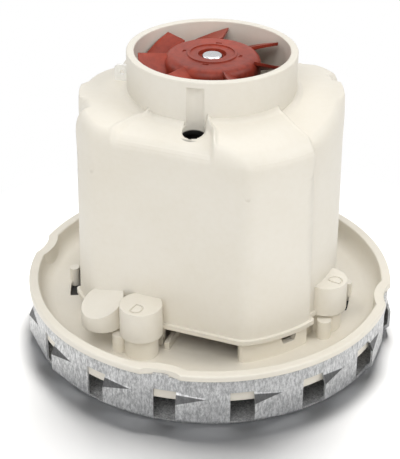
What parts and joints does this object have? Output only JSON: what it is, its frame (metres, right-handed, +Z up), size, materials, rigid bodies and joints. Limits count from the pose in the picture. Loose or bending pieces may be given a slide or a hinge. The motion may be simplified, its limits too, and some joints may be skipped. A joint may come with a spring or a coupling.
{
  "type": "vacuum motor unit",
  "caption": "By-pass vacuum motor: moulded housing with collar and cooling fan on a flanged tray, over a louvred steel fan cup with an impeller inside.",
  "frame": {"origin": "centre of the fan cup's flat base, on the spin axis", "axes": "+Z up the spin axis towards the cooling fan; the housing's flats face -Y and +Y"},
  "size_m": [0.15, 0.15, 0.1218],
  "materials": {
    "ivory_plastic": "moulded, fine satin grain",
    "red_plastic": "moulded, brick red satin",
    "galvanised_steel": "galvanised sheet with fine spangle",
    "black_steel": "black satin paint",
    "zinc_steel": "zinc plated",
    "bearing_steel": "ground and polished",
    "rubber": "matt black",
    "lamination_steel": "stacked sheets, dark varnish",
    "copper_winding": "enamelled copper wire",
    "copper_bars": "turned copper bars",
    "brass": "stamped brass",
    "carbon": "pressed carbon",
    "spring_steel": "drawn wire",
    "tinned_blade": "tin plated brass",
    "shaft_steel": "ground bar",
    "aluminium": "pressed sheet"
  },
  "bodies": {
    "frame": {"fan_cover": "galvanised_steel", "tray": "ivory_plastic", "fan_chamber_plate": "black_steel", "plate_screws": "zinc_steel", "motor_housing": "ivory_plastic", "housing_screws": "zinc_steel", "lower_bearing_outer_race": "bearing_steel", "lower_bearing_sleeve": "rubber", "upper_bearing_outer_race": "bearing_steel", "upper_bearing_sleeve": "rubber", "stator_core": "lamination_steel", "field_coil_front": "copper_winding", "field_coil_back": "copper_winding", "stator_screws": "zinc_steel", "brush_holder_right": "brass", "brush_holder_left": "brass", "brush_spring_right": "spring_steel", "brush_spring_left": "spring_steel", "terminal_blade_1": "tinned_blade", "terminal_blade_2": "tinned_blade"},
    "rotor": {"rotor_shaft": "shaft_steel", "lower_bearing_inner_race": "bearing_steel", "lower_bearing_balls": "bearing_steel", "upper_bearing_inner_race": "bearing_steel", "upper_bearing_balls": "bearing_steel", "armature_core": "lamination_steel", "armature_winding": "copper_winding", "commutator": "copper_bars", "cooling_fan": "red_plastic", "impeller_back_plate": "aluminium", "impeller_eye_plate": "aluminium", "impeller_vanes": "aluminium", "impeller_spacer": "zinc_steel", "impeller_washer": "zinc_steel", "impeller_nut": "zinc_steel"},
    "brush_right": {"carbon_brush_right": "carbon"},
    "brush_left": {"carbon_brush_left": "carbon"}
  },
  "joints": [
    {"name": "rotor_spin", "type": "hinge", "parent": "frame", "child": "rotor", "pos_m": [0, 0, 0.06], "axis": [0, 0, 1], "continuous": true},
    {"name": "brush_right_slide", "type": "slide", "parent": "frame", "child": "brush_right", "axis": [0.9455, 0.3256, 0], "range_m": [0, 0.003], "stiffness_N_per_m": 150, "springref_m": -0.005, "deforming": ["brush_spring_right"]},
    {"name": "brush_left_slide", "type": "slide", "parent": "frame", "child": "brush_left", "axis": [-0.9455, -0.3256, 0], "range_m": [0, 0.003], "stiffness_N_per_m": 150, "springref_m": -0.005, "deforming": ["brush_spring_left"]}
  ]
}
